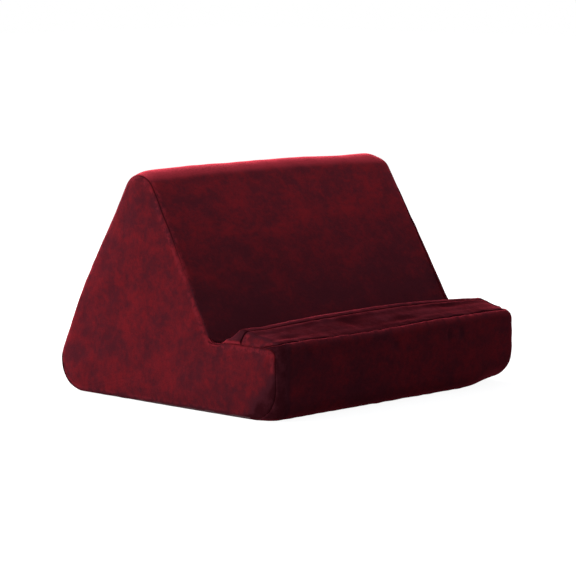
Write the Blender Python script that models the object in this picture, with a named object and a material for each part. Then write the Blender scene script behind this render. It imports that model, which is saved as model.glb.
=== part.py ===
"""Tablet cushion stand: a foam wedge and a foam ledge in a sewn velvet cover that closes with a zip.

Metres, +Z up. +X runs across the stand, and -Y is the front, where the tablet's lower edge sits in the
groove between the ledge and the backrest. The origin is on the floor, at the middle of the footprint.
"""

import math

import bmesh
import bpy
from mathutils import Matrix, Vector

# Overall form, measured on the outside of the cover.
WIDTH = 0.300
HEIGHT = 0.1955
BACKREST_ANGLE = math.radians(61.4)
REAR_ANGLE = math.radians(61.4)
APEX_RADIUS = 0.019
REAR_FOOT_RADIUS = 0.028

# Ledge in front of the backrest.
LEDGE_DEPTH = 0.079
GROOVE_FLOOR_HEIGHT = 0.054
GROOVE_RADIUS = 0.008
LEDGE_INNER_ANGLE = math.radians(52)
FRONT_TOP_HEIGHT = 0.0595
FRONT_TOP_RADIUS = 0.015
RIM_SETBACK = 0.017
RIM_RISE = 0.0055
RIM_HEIGHT = FRONT_TOP_HEIGHT + RIM_RISE
CREST_SETBACK = 0.044
CREST_RISE = 0.009
CREST_HEIGHT = RIM_HEIGHT + CREST_RISE
CREST_CROWN = 0.004
CREST_RADIUS = 0.007
FRONT_FOOT_RADIUS = 0.017

# Outline of the end panels, which lies inside the full section of the cushion.
EDGE_ROUND = 0.014
END_INSET = 0.0017
END_LIFT = 0.0005
END_SETBACK = 0.0025
END_LEDGE_DROP = 0.001
END_LEDGE_HEIGHT = FRONT_TOP_HEIGHT - END_LEDGE_DROP
END_LEDGE_RISE = 0.0015
END_APEX_RADIUS = 0.0205
END_FRONT_TOP_RADIUS = 0.009
END_FRONT_FOOT_RADIUS = 0.030

# Cloth and clearances.
COVER_THICKNESS = 0.002
LINING_THICKNESS = 0.0008
CLEARANCE = 0.0003
SEAM_GAP = 0.0003
SEAM_EASE = 0.003

# Zip across the rear face.
ZIP_RISE = 0.002
ZIP_MARGIN = 0.040
ZIP_OPENING = 0.009
ZIP_OPENING_TAPER = 0.004
TAPE_WIDTH = 0.008
TAPE_THICKNESS = 0.0007
TAPE_END = 0.010
BEAD_GAP = 0.0012
BEAD_WIDTH = 0.002
BEAD_HEIGHT = 0.0014
STOP_LENGTH = 0.002
SLIDER_LENGTH = 0.009
SLIDER_PLATE = 0.0009
SLIDER_FLANGE = 0.0008
SLIDER_WEB = 0.0006
BRIDGE_WIDTH = 0.0016
BRIDGE_BAR = 0.0009
BRIDGE_OPENING = 0.0021
BRIDGE_SPAN = 0.0082
PULL_LENGTH = 0.020
PULL_WIDTH = 0.0052
PULL_TIP_WIDTH = 0.0070
PULL_THICKNESS = 0.001
PULL_EYE_WIDTH = 0.003
PULL_EYE_LENGTH = 0.0046
ZIP_CHANNEL_DEPTH = 0.0030
ZIP_CHANNEL_RAMP = 0.004

# How finely the shapes are divided.
BIG_ROUND_STEPS = 8
SMALL_ROUND_STEPS = 4
EDGE_STEPS = 5
MIDDLE_STATIONS = 4
REAR_POINTS = 2
SLOPE_POINTS = 4
LEDGE_POINTS = 1
FRONT_POINTS = 2
BASE_POINTS = 3
PULL_TIP_STEPS = 8

VELVET = (0.16, 0.012, 0.02, 1.0)
LINING = (0.20, 0.03, 0.04, 1.0)
BASE_CLOTH = (0.05, 0.008, 0.012, 1.0)
FOAM = (0.86, 0.82, 0.66, 1.0)
TAPE = (0.10, 0.01, 0.016, 1.0)
METAL = (0.55, 0.52, 0.48, 1.0)

STRIP_END = WIDTH / 2 - COVER_THICKNESS - CLEARANCE
FOAM_DEPTH = COVER_THICKNESS + CLEARANCE
ZIP_END = WIDTH / 2 - ZIP_MARGIN


def turn_between(before, at, after):
    """Unit directions into and out of a corner, and the angle turned there."""
    into = (at - before).normalized()
    out = (after - at).normalized()
    return into, out, into.angle(out)


def rounded_corner(before, at, after, radius, steps):
    """Points of the arc of this radius in a corner, as a rational quadratic curve.

    A corner that is nearly straight still gets a short stretch of SEAM_EASE on each side.
    """
    into, out, turn = turn_between(before, at, after)
    reach = max(radius * math.tan(turn / 2), SEAM_EASE)
    start = at - into * reach
    end = at + out * reach
    weight = math.cos(turn / 2)
    points = []
    for k in range(steps + 1):
        t = k / steps
        a, b, c = (1 - t) ** 2, 2 * weight * t * (1 - t), t * t
        points.append((start * a + at * b + end * c) / (a + b + c))
    return points


def corners_of(inset, lift, ledge, crown):
    """Corners of one section, as (point, radius, steps), from the rear foot over the apex to the front foot.

    The wedge's sides lie inset inside the full section, and its base lies lift above the floor. The
    ledge is "full", with its groove and crest, or "end", which is the flat seam line of the end panels.
    """
    apex_turn = BACKREST_ANGLE + REAR_ANGLE
    full_top = HEIGHT + APEX_RADIUS * (1 / math.cos(apex_turn / 2) - 1)
    cot_back = 1 / math.tan(BACKREST_ANGLE)
    cot_rear = 1 / math.tan(REAR_ANGLE)
    foot = inset / math.sin(BACKREST_ANGLE)
    heel = full_top * (cot_back + cot_rear) - inset / math.sin(REAR_ANGLE)
    top = (heel - foot) / (cot_back + cot_rear)

    def on_backrest(z):
        return Vector((foot + z * cot_back, z))

    front = GROOVE_FLOOR_HEIGHT * cot_back - LEDGE_DEPTH
    rear_foot = (Vector((heel - lift * cot_rear, lift)), REAR_FOOT_RADIUS, BIG_ROUND_STEPS)
    peak = Vector((foot + top * cot_back, top))
    if ledge == "end":
        front += END_SETBACK
        apex = (peak, END_APEX_RADIUS, BIG_ROUND_STEPS)
        groove = on_backrest(END_LEDGE_HEIGHT)
        crest = END_LEDGE_HEIGHT + END_LEDGE_RISE
        heights = [crest, crest, END_LEDGE_HEIGHT]
        radii = GROOVE_RADIUS, CREST_RADIUS, CREST_RADIUS, END_FRONT_TOP_RADIUS
        foot_radius = END_FRONT_FOOT_RADIUS
    else:
        apex = (peak, APEX_RADIUS, BIG_ROUND_STEPS)
        sides = BACKREST_ANGLE + LEDGE_INNER_ANGLE
        drop = GROOVE_RADIUS * (1 / math.cos(sides / 2) - 1)
        groove = on_backrest(GROOVE_FLOOR_HEIGHT - drop)
        heights = [CREST_HEIGHT + crown, RIM_HEIGHT, FRONT_TOP_HEIGHT]
        radii = GROOVE_RADIUS, CREST_RADIUS, CREST_RADIUS, FRONT_TOP_RADIUS
        foot_radius = FRONT_FOOT_RADIUS
    places = [front + CREST_SETBACK, front + RIM_SETBACK, front]
    steps = SMALL_ROUND_STEPS
    ledge_points = [groove] + [Vector(p) for p in zip(places, heights)]
    ledge_corners = [(p, r, steps) for p, r in zip(ledge_points, radii)]
    front_foot = (Vector((front, lift)), foot_radius, BIG_ROUND_STEPS)
    return [rear_foot, apex, *ledge_corners, front_foot]


# The corners of a section in order, each with the number of single points between it and the next. The
# rear face, after the rear foot, gets the points of rear_stops instead.
POINTS_AFTER = {
    "rear_foot": None,
    "apex": SLOPE_POINTS,
    "groove": LEDGE_POINTS,
    "crest": LEDGE_POINTS,
    "rim": LEDGE_POINTS,
    "front_top": FRONT_POINTS,
    "front_foot": BASE_POINTS,
}


def rear_stops(low, high):
    """Points up the rear face: ramps and edges of the zip's channel in the foam, and its centre line.

    The channel starts ZIP_RISE above the rounding of the rear foot.
    """
    channel = ZIP_OPENING / 2 + TAPE_WIDTH
    middle = ZIP_RISE + ZIP_CHANNEL_RAMP + channel
    up = (high - low).normalized()
    offsets = [-channel - ZIP_CHANNEL_RAMP, -channel, 0, channel, channel + ZIP_CHANNEL_RAMP]
    points = [low + up * (middle + offset) for offset in offsets]
    upper = [points[-1].lerp(high, (k + 1) / (REAR_POINTS + 1)) for k in range(REAR_POINTS)]
    return points + upper


def section(inset=0.0, lift=0.0, ledge="full", crown=0.0):
    """Points of one closed section, as (y, z), and the index of each corner's first point."""
    corners = corners_of(inset, lift, ledge, crown)
    arcs = []
    for k, (point, radius, steps) in enumerate(corners):
        before = corners[k - 1][0]
        after = corners[(k + 1) % len(corners)][0]
        arcs.append(rounded_corner(before, point, after, radius, steps))
    points = []
    starts = {}
    for k, (name, count) in enumerate(POINTS_AFTER.items()):
        starts[name] = len(points)
        points += arcs[k]
        low, high = arcs[k][-1], arcs[(k + 1) % len(arcs)][0]
        if name == "rear_foot":
            points += rear_stops(low, high)
        else:
            points += [low.lerp(high, (j + 1) / (count + 1)) for j in range(count)]
    return points, starts


def inward(points, i):
    """Inward direction at a point of a section, longer where the outline turns, so that walls stay even."""
    into = (points[i] - points[i - 1]).normalized()
    out = (points[(i + 1) % len(points)] - points[i]).normalized()
    normal = Vector((-into.y - out.y, into.x + out.x)).normalized()
    return normal / max(normal.dot(Vector((-out.y, out.x))), 0.5)


FULL, START = section(0.0, 0.0, "full", 0.0)
CROWNED, _ = section(0.0, 0.0, "full", CREST_CROWN)
END, _ = section(END_INSET, END_LIFT, "end", 0.0)
COUNT = len(FULL)
CENTRE_Y = (min(p.x for p in FULL) + max(p.x for p in FULL)) / 2
ZIP = START["rear_foot"] + BIG_ROUND_STEPS + 3
GROOVE_SEAM = START["groove"]
CREST_SEAM = START["crest"] + SMALL_ROUND_STEPS // 2
RIM_SEAM = START["rim"] + SMALL_ROUND_STEPS // 2
FRONT_SEAM = START["front_foot"] + BIG_ROUND_STEPS
REAR_SEAM = START["rear_foot"]


def edge_share(x):
    """Share of the full section at x: 1 between the rounded edges, falling as a quarter circle to 0."""
    u = (abs(x) - (STRIP_END - EDGE_ROUND)) / EDGE_ROUND
    return math.sqrt(max(0.0, 1 - max(0.0, u) ** 2))


def crown_share(x):
    return 1 - (x / STRIP_END) ** 2


def across(make, x):
    """One piece's section at x: make(points) gives it on each of the three outlines, and they are mixed."""
    full, crowned, end = make(FULL), make(CROWNED), make(END)
    share, crown = edge_share(x), crown_share(x)
    mixed = [e.lerp(f.lerp(c, crown), share) for f, c, e in zip(full, crowned, end)]
    return [Vector((x, p.x - CENTRE_Y, p.y)) for p in mixed]


def stations(extra=()):
    """Places along X where sections are taken: close together on the rounded edges."""
    flat = STRIP_END - EDGE_ROUND
    side = [flat + EDGE_ROUND * math.sin(math.pi / 2 * k / EDGE_STEPS) for k in range(EDGE_STEPS + 1)]
    middle = [-flat + 2 * flat * k / MIDDLE_STATIONS for k in range(1, MIDDLE_STATIONS)]
    return sorted(set([-x for x in side] + middle + side + list(extra)))


def make_material(name, colour, roughness, metallic=0.0):
    material = bpy.data.materials.new(name)
    material.use_nodes = True
    shader = material.node_tree.nodes["Principled BSDF"]
    shader.inputs["Base Color"].default_value = colour
    shader.inputs["Roughness"].default_value = roughness
    shader.inputs["Metallic"].default_value = metallic
    material.diffuse_color = colour
    return material


def add_object(name, mesh_builder, material):
    """Adds the bmesh as a named object with one material."""
    bmesh.ops.recalc_face_normals(mesh_builder, faces=mesh_builder.faces)
    mesh = bpy.data.meshes.new(name)
    mesh_builder.to_mesh(mesh)
    mesh_builder.free()
    mesh.materials.append(material)
    obj = bpy.data.objects.new(name, mesh)
    bpy.context.scene.collection.objects.link(obj)
    return obj


def loft(name, sections, order, material):
    """One closed solid through a row of closed sections.

    order gives each point's place in the outline, so that every cloth and the foam under it are split
    along the same diagonals and stay evenly apart.
    """
    builder = bmesh.new()
    rows = [[builder.verts.new(p) for p in points] for points in sections]
    count = len(order)
    for near, far in zip(rows, rows[1:]):
        for i in range(count):
            j = (i + 1) % count
            if order[i] < order[j]:
                builder.faces.new((near[i], near[j], far[j]))
                builder.faces.new((near[i], far[j], far[i]))
            else:
                builder.faces.new((near[i], near[j], far[i]))
                builder.faces.new((near[j], far[j], far[i]))
    for row in (rows[0], rows[-1]):
        end = builder.faces.new(row)
        end.normal_update()
        bmesh.ops.triangulate(builder, faces=[end])
    obj = add_object(name, builder, material)
    obj.data.shade_smooth()
    obj.data.set_sharp_from_angle(angle=math.radians(40))
    return obj


def depth_point(points, i, depth):
    """Point of an outline, moved this far into the cushion."""
    return points[i % COUNT] + inward(points, i % COUNT) * depth


def trimmed(points, i, towards, gap, depth):
    """End of a cloth at seam i, held back by half the gap towards the neighbouring point."""
    at = depth_point(points, i, depth)
    other = depth_point(points, towards, depth)
    return at + (other - at).normalized() * (gap / 2)


def strip_section(first, last, first_gap, last_gap):
    """Builder of a cloth's closed section between two seams, and its points' order."""
    inner = list(range(first + 1, last))

    def make(points):
        def side(depth):
            start = trimmed(points, first, first + 1, first_gap, depth)
            end = trimmed(points, last, last - 1, last_gap, depth)
            return [start] + [depth_point(points, i, depth) for i in inner] + [end]

        return side(0.0) + side(COVER_THICKNESS)[::-1]

    order = [first] + inner + [last]
    return make, order + order[::-1]


def zip_gap(x):
    """Width of the opening between the cloths at the zip: a plain seam beyond its ends."""
    past = (abs(x) - ZIP_END) / ZIP_OPENING_TAPER
    return ZIP_OPENING + (SEAM_GAP - ZIP_OPENING) * min(1.0, max(0.0, past))


def add_strip(name, first, last, material):
    """A cloth that runs across the stand, between two seams of the section."""
    ends = [ZIP_END, ZIP_END + ZIP_OPENING_TAPER] if ZIP in (first, last) else []
    sections = []
    for x in stations([s * e for s in (-1, 1) for e in ends]):
        first_gap = zip_gap(x) if first == ZIP else SEAM_GAP
        last_gap = zip_gap(x) if last == ZIP else SEAM_GAP
        make, order = strip_section(first, last, first_gap, last_gap)
        sections.append(across(make, x))
    return loft(name, sections, order, material)


def backrest_line(points, depth):
    """A point and the downward direction of the backrest's plane, this deep, from one outline."""
    low = points[START["groove"]]
    high = points[START["apex"] + BIG_ROUND_STEPS]
    down = (low - high).normalized()
    return low + Vector((down.y, -down.x)) * -depth, down


def at_height(point, down, z):
    return point + down * ((z - point.y) / down.y)


def groove_drop():
    """How far below the groove's seam the lining starts, so that it clears the curved cloth above it."""
    outer = GROOVE_RADIUS + COVER_THICKNESS + CLEARANCE
    inner = GROOVE_RADIUS + COVER_THICKNESS - LINING_THICKNESS
    return math.sqrt(outer**2 - inner**2)


def wedge_section(points):
    """Foam wedge: base, rear with its channel for the zip, apex, and the whole sloping front."""
    first, last = START["rear_foot"], START["groove"]
    made = []
    for i in range(first, last + 1):
        extra = ZIP_CHANNEL_DEPTH if abs(i - ZIP) <= 1 else 0.0
        made.append(depth_point(points, i, FOAM_DEPTH + extra))
    floor = made[0].y
    line, down = backrest_line(points, FOAM_DEPTH)
    return made + [at_height(line, down, floor)]


def lining_section(points):
    """Lining sewn in below the groove's seam: it parts the two foams and holds the groove down."""
    floor = depth_point(points, REAR_SEAM, FOAM_DEPTH).y
    made = []
    for depth in (COVER_THICKNESS, COVER_THICKNESS - LINING_THICKNESS):
        line, down = backrest_line(points, depth)
        ends = [line + down * groove_drop(), at_height(line, down, floor)]
        made += ends if depth == COVER_THICKNESS else ends[::-1]
    return made


def ledge_section(points):
    """Foam ledge: its sloping back along the lining, then the groove's side, crest, top, front and base."""
    first, last = START["groove"] + SMALL_ROUND_STEPS, FRONT_SEAM
    outer = [depth_point(points, i, FOAM_DEPTH) for i in range(first, last + 1)]
    line, down = backrest_line(points, COVER_THICKNESS - LINING_THICKNESS - CLEARANCE)
    rise = (outer[0] - outer[1]).normalized()
    side = Vector((down.y, -down.x))
    reach = (line - outer[0]).dot(side) / rise.dot(side)
    top = outer[0] + rise * reach
    return [top] + outer + [at_height(line, down, outer[-1].y)]


def add_loft(name, make, material):
    sections = [across(make, x) for x in stations()]
    return loft(name, sections, list(range(len(sections[0]))), material)


def add_end_panel(name, side, material):
    """Flat end panel, cut to the end outline."""
    inner = side * (STRIP_END + CLEARANCE)
    outer = side * (STRIP_END + CLEARANCE + COVER_THICKNESS)
    sections = [[Vector((x, p.x - CENTRE_Y, p.y)) for p in END] for x in (inner, outer)]
    return loft(name, sections, list(range(COUNT)), material)


def zip_frame():
    """Matrix of the zip, at its middle: x across the stand towards -X, y up the rear face, z out of it."""
    at = FULL[ZIP]
    up = (FULL[ZIP + 1] - FULL[ZIP]).normalized()
    along, rise = Vector((-1, 0, 0)), Vector((0, up.x, up.y))
    out = along.cross(rise)
    origin = Vector((0, at.x - CENTRE_Y, at.y))
    columns = Matrix((along, rise, out)).transposed().to_4x4()
    return Matrix.Translation(origin) @ columns


def prism(outline, low, high, axis):
    """Closed bmesh of an outline pushed along one axis from low to high.

    The outline's two numbers are the other two axes, in x, y, z order.
    """
    builder = bmesh.new()

    def place(a, b, c):
        values = [a, b]
        values.insert(axis, c)
        return Vector(values)

    face = builder.faces.new([builder.verts.new(place(a, b, low)) for a, b in outline])
    made = bmesh.ops.extrude_face_region(builder, geom=[face])
    moved = [v for v in made["geom"] if isinstance(v, bmesh.types.BMVert)]
    shift = Vector((0, 0, 0))
    shift[axis] = high - low
    bmesh.ops.translate(builder, verts=moved, vec=shift)
    return builder


def box_outline(a0, b0, a1, b1):
    return [(a0, b0), (a1, b0), (a1, b1), (a0, b1)]


def combine(obj, other, operation):
    """Joins another object to this one, or cuts it away, and keeps the other only as a hidden guide."""
    modifier = obj.modifiers.new(operation.title(), "BOOLEAN")
    modifier.operation = operation
    modifier.object = other
    other.hide_render = True
    other.display_type = "WIRE"
    other.parent = obj


TAPE_TOP = -FOAM_DEPTH
TAPE_BOTTOM = TAPE_TOP - TAPE_THICKNESS
BEAD_INNER = BEAD_GAP / 2
BEAD_OUTER = BEAD_INNER + BEAD_WIDTH
BEAD_TOP = TAPE_TOP + BEAD_HEIGHT
BEAD_END = ZIP_END - STOP_LENGTH - CLEARANCE
PLATE_TOP = BEAD_TOP + CLEARANCE + SLIDER_PLATE
CLOSED_X = BEAD_END - SLIDER_LENGTH / 2
PULL_AXIS = PLATE_TOP + BRIDGE_OPENING / 2


def add_stringer(name, side, frame, material):
    """Half a zip: its tape under the cloth, and the bead of its coil along the inner edge."""
    tape_edge = ZIP_OPENING / 2 + TAPE_WIDTH - CLEARANCE
    tape = box_outline(side * BEAD_INNER, TAPE_BOTTOM, side * tape_edge, TAPE_TOP)
    half = ZIP_END + TAPE_END
    obj = add_object(name, prism(tape, -half, half, 0), material)
    bead = box_outline(side * BEAD_INNER, TAPE_BOTTOM, side * BEAD_OUTER, BEAD_TOP)
    coil = add_object(name + "_coil", prism(bead, -BEAD_END, BEAD_END, 0), material)
    combine(obj, coil, "UNION")
    obj.matrix_world = frame
    return obj


def add_stop(name, side, frame, material):
    """Stop clamped on the tapes at one end of the coil."""
    outline = box_outline(-BEAD_OUTER, TAPE_TOP + CLEARANCE, BEAD_OUTER, BEAD_TOP)
    start = BEAD_END + CLEARANCE
    ends = sorted([side * start, side * (start + STOP_LENGTH)])
    obj = add_object(name, prism(outline, *ends, 0), material)
    obj.matrix_world = frame
    return obj


def slider_outline():
    """Section of the slider across the coil: top plate with flanges, web between the beads, lower plate."""
    outer = BEAD_OUTER + CLEARANCE + SLIDER_FLANGE
    channel = BEAD_OUTER + CLEARANCE
    web = SLIDER_WEB / 2
    plate = BEAD_TOP + CLEARANCE
    lower = TAPE_BOTTOM - CLEARANCE
    right = [
        (web, lower),
        (web, plate),
        (channel, plate),
        (channel, TAPE_TOP + CLEARANCE),
        (outer, TAPE_TOP + CLEARANCE),
        (outer, PLATE_TOP),
    ]
    foot = [(-outer, lower - SLIDER_PLATE), (outer, lower - SLIDER_PLATE), (outer, lower)]
    left = [(-a, b) for a, b in reversed(right)]
    return foot + right + left + [(-outer, lower)]


def add_slider(frame, material):
    """Slider, at the closed end of the zip, with the bridge that the pull hangs on."""
    half = SLIDER_LENGTH / 2
    obj = add_object("zip_slider", prism(slider_outline(), -half, half, 0), material)
    span, top = BRIDGE_SPAN / 2, PLATE_TOP + BRIDGE_OPENING
    sunk = PLATE_TOP - SLIDER_PLATE / 2
    arch = [(-span, sunk), (-span + BRIDGE_BAR, sunk), (-span + BRIDGE_BAR, top), (span - BRIDGE_BAR, top)]
    arch += [(span - BRIDGE_BAR, sunk), (span, sunk), (span, top + BRIDGE_BAR / 2)]
    arch += [(span - BRIDGE_BAR / 2, top + BRIDGE_BAR), (-span + BRIDGE_BAR / 2, top + BRIDGE_BAR)]
    arch += [(-span, top + BRIDGE_BAR / 2)]
    bridge = add_object("zip_bridge", prism(arch, -BRIDGE_WIDTH / 2, BRIDGE_WIDTH / 2, 1), material)
    combine(obj, bridge, "UNION")
    obj.matrix_world = frame @ Matrix.Translation((CLOSED_X, 0, 0))
    return obj


def add_pull(frame, material):
    """Pull tab, lying back along the zip: its end bar runs under the slider's bridge."""
    bar, half = PULL_THICKNESS / 2, PULL_WIDTH / 2
    tip = PULL_TIP_WIDTH / 2
    centre = -PULL_LENGTH + bar + tip
    outline = [(bar, half), (bar, -half)]
    for k in range(PULL_TIP_STEPS + 1):
        angle = -math.pi / 2 - math.pi * k / PULL_TIP_STEPS
        outline.append((centre + tip * math.cos(angle), tip * math.sin(angle)))
    obj = add_object("zip_pull", prism(outline, -bar, bar, 2), material)
    eye = box_outline(-bar - PULL_EYE_LENGTH, -PULL_EYE_WIDTH / 2, -bar, PULL_EYE_WIDTH / 2)
    cutter = add_object("zip_pull_eye", prism(eye, -PULL_THICKNESS, PULL_THICKNESS, 2), material)
    combine(obj, cutter, "DIFFERENCE")
    obj.matrix_world = frame @ Matrix.Translation((CLOSED_X, 0, PULL_AXIS))
    return obj


def build():
    for obj in list(bpy.data.objects):
        bpy.data.objects.remove(obj)
    velvet = make_material("velvet", VELVET, 0.9)
    lining = make_material("lining", LINING, 0.95)
    base_cloth = make_material("base_cloth", BASE_CLOTH, 0.9)
    foam = make_material("foam", FOAM, 1.0)
    tape = make_material("zip_tape", TAPE, 0.8)
    metal = make_material("zip_metal", METAL, 0.35, 1.0)

    add_loft("foam_wedge", wedge_section, foam)
    add_loft("foam_ledge", ledge_section, foam)
    add_loft("groove_lining", lining_section, lining)
    add_strip("rear_lower_panel", REAR_SEAM, ZIP, velvet)
    add_strip("backrest_panel", ZIP, GROOVE_SEAM, velvet)
    add_strip("ledge_inner_panel", GROOVE_SEAM, CREST_SEAM, velvet)
    add_strip("ledge_top_panel", CREST_SEAM, RIM_SEAM, velvet)
    add_strip("ledge_front_panel", RIM_SEAM, FRONT_SEAM, velvet)
    add_strip("base_panel", FRONT_SEAM, COUNT, base_cloth)
    add_end_panel("end_panel_left", -1, velvet)
    add_end_panel("end_panel_right", 1, velvet)

    frame = zip_frame()
    add_stringer("zip_stringer_upper", 1, frame, tape)
    add_stringer("zip_stringer_lower", -1, frame, tape)
    add_stop("zip_stop_closed_end", 1, frame, metal)
    add_stop("zip_stop_open_end", -1, frame, metal)
    add_slider(frame, metal)
    add_pull(frame, metal)


build()
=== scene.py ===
"""Tablet cushion stand in a crushed velvet cover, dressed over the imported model.

Metres, +Z up. The front, with the groove and the ledge, faces -Y, and X runs across the stand. The cover
is a row of cloths that run across the stand, from the rear foot over the apex, down the backrest, over
the ledge and back along the base, closed by two flat end panels. Each cloth is a grid of x against the
way round the section.
"""

import math

import bmesh
import bpy
import numpy as np
from mathutils import Matrix, Vector


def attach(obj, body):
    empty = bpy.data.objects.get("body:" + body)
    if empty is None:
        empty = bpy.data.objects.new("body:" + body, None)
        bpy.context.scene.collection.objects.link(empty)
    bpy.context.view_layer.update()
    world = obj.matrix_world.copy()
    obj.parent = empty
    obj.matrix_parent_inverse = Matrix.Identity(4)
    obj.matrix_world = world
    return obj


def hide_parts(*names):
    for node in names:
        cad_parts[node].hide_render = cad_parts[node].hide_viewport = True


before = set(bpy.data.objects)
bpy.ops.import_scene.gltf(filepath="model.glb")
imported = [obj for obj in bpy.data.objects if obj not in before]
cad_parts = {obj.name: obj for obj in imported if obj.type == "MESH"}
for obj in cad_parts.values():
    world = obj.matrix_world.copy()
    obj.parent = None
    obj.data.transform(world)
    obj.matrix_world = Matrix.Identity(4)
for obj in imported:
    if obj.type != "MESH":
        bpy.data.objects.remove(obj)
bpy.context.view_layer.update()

# Section of the stand, as corners (y, z, radius) in the model's frame: full between the rounded ends, and
# at the seam line of each end panel.
FRONT = -0.1331
FULL_CORNERS = {
    "rear_foot": (0.1522, 0.0, 0.028),
    "apex": (0.03436, 0.2162, 0.019),
    "groove": (-0.05765, 0.0474, 0.008),
    "crest": (-0.0891, 0.0777, 0.007),
    "rim": (-0.1262, 0.0656, 0.004),
    "front_top": (FRONT, 0.0638, 0.0045),
    "front_foot": (FRONT, 0.0, 0.017),
}
LEFT_CORNERS = {
    "rear_foot": (0.1524, 0.0001, 0.0266),
    "apex": (0.0330, 0.2112, 0.0192),
    "groove": (-0.0510, 0.0580, 0.008),
    "crest": (-0.0800, 0.0600, 0.007),
    "rim": (-0.1080, 0.0595, 0.007),
    "front_top": (-0.1252, 0.0592, 0.0065),
    "front_foot": (-0.1252, -0.0006, 0.0280),
}
RIGHT_CORNERS = {
    "rear_foot": (0.1524, 0.0001, 0.0266),
    "apex": (0.0340, 0.2070, 0.0185),
    "groove": (-0.0574, 0.0580, 0.008),
    "crest": (-0.0895, 0.0720, 0.010),
    "rim": (-0.1145, 0.0652, 0.009),
    "front_top": (-0.1264, 0.0586, 0.010),
    "front_foot": (-0.1254, -0.0010, 0.028),
}
NAMES = list(FULL_CORNERS)
BOWS = {"rear_foot": 0.0032, "apex": 0.0008}  # of the straights after these corners, near the ends
CORNER_EASE = 0.003
STRIP_END = 0.1486
APEX_DROOP_LEFT, APEX_DROOP_RIGHT = 0.0012, 0.0022  # at DROOP_AT from the middle, growing with x squared
CREST_DROOP_LEFT, CREST_DROOP_RIGHT = 0.0037, 0.0040
DROOP_AT = 0.12

# Rounded edge at each end, for each corner: how far it reaches along x, and how full it is.
EDGE_ROUND = 0.014
LEFT_ROUNDS = np.array([0.009, 0.014, 0.008, 0.006, 0.006, 0.011, 0.009])
RIGHT_ROUNDS = np.array([0.009, 0.015, 0.014, 0.014, 0.013, 0.010, 0.007])
LEFT_POWERS = np.array([0.85, 0.85, 0.70, 0.50, 0.50, 0.80, 0.85])
RIGHT_POWER = 0.85
END_CENTRE = (-0.020, 0.035)

# Dimples of the ledge's cloth, as (x, y) on the top strip and (x, z) on the front, with half lengths.
DIMPLE_DEPTH = 0.0012
TOP_DIMPLES = (
    (-0.124, -0.1160, 0.009, 0.0034),
    (-0.042, -0.1095, 0.007, 0.0050),
    (0.018, -0.1165, 0.012, 0.0030),
    (0.088, -0.1050, 0.014, 0.0035),
)
FRONT_DIMPLES = (
    (0.056, 0.0500, 0.0030, 0.0065),
    (0.072, 0.0515, 0.0034, 0.0060),
    (-0.012, 0.0500, 0.0050, 0.0050),
    (-0.118, 0.0530, 0.0045, 0.0045),
)

# Sewing: radius of the turned edge, cloth behind it, the tuck and the ridge beside a seam, what a shut seam
# adds to its distance, which hides the painted dark line of shade along it, and the reach of gathers and of
# slow unevenness.
ROLL = 0.0013
CLOTH = 0.0006
SEAM_HALF_GAP = 0.0001
TUCK = 0.0004
TUCK_REACH = 0.005
LIP = 0.0003
LIP_PLACE = 0.0026
LIP_WIDTH = 0.0014
SEAM_SHUT = 0.0009
PUCKER_REACH = 0.007
SLOW_REACH = 0.02

# Spacing: steps away from a seam, turns round an end in radians, the step in between, and an end panel's
# rings from its edge to its centre.
EDGE_STEPS = np.array([0, 0.2, 0.4, 0.65, 0.95, 1.3, 1.8, 2.5, 3.4, 4.5, 6.0]) * 0.001
EDGE_TURNS = [0, 1.2, 2.5, 4, 6, 8.5, 11.5, 15, 20, 26, 33, 41, 50, 60, 70, 82, 95, 110, 125, 140, 157]
EDGE_TURNS = np.array(EDGE_TURNS) * 0.01
STEP = 0.0020
INNER_RINGS = 54

# The ends.
END_SWELL = 0.0026
END_SWELL_REACH = 0.008
END_UNEVENNESS = 0.00030

# Zip, along the rear face.
ZIP_UP = 0.0185
ZIP_END = 0.110
ZIP_TAPER = 0.004
ZIP_HALF_OPENING = 0.0045
STITCH_INSET = 0.0038
STITCH_RADIUS = 0.00023
TAPE_END = 0.120
COIL_END = 0.1074
COIL_RADIUS = 0.00027


def smooth(t):
    """Smooth step: 0 below 0, 1 above 1, and 3t^2 - 2t^3 between."""
    t = np.clip(t, 0, 1)
    return t * t * (3 - 2 * t)


def along(x, places, values):
    """Value at x that eases from one given value to the next between the given places."""
    places, values = np.asarray(places, float), np.asarray(values, float)
    k = np.clip(np.searchsorted(places, x) - 1, 0, len(places) - 2)
    t = smooth((x - places[k]) / (places[k + 1] - places[k]))
    return values[k] + (values[k + 1] - values[k]) * t


def unit(v):
    """Vectors scaled to a length of 1."""
    return v / np.maximum(np.linalg.norm(v, axis=-1, keepdims=True), 1e-12)


def waves(points, length, seed, count=20):
    """Smooth noise of about -1 to 1: a sum of sine waves near this length, in random directions."""
    rng = np.random.default_rng(seed)
    ways = unit(rng.normal(size=(count, 3))) / (length * rng.uniform(0.7, 1.5, (count, 1)))
    angle = 2 * np.pi * (points @ ways.T + rng.uniform(0, 1, count))
    return np.sin(angle).sum(-1) * math.sqrt(0.5 / count)


def table(corners):
    """Corners as rows of numbers, in the order of their names."""
    return np.array([corners[name] for name in NAMES], float)


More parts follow.
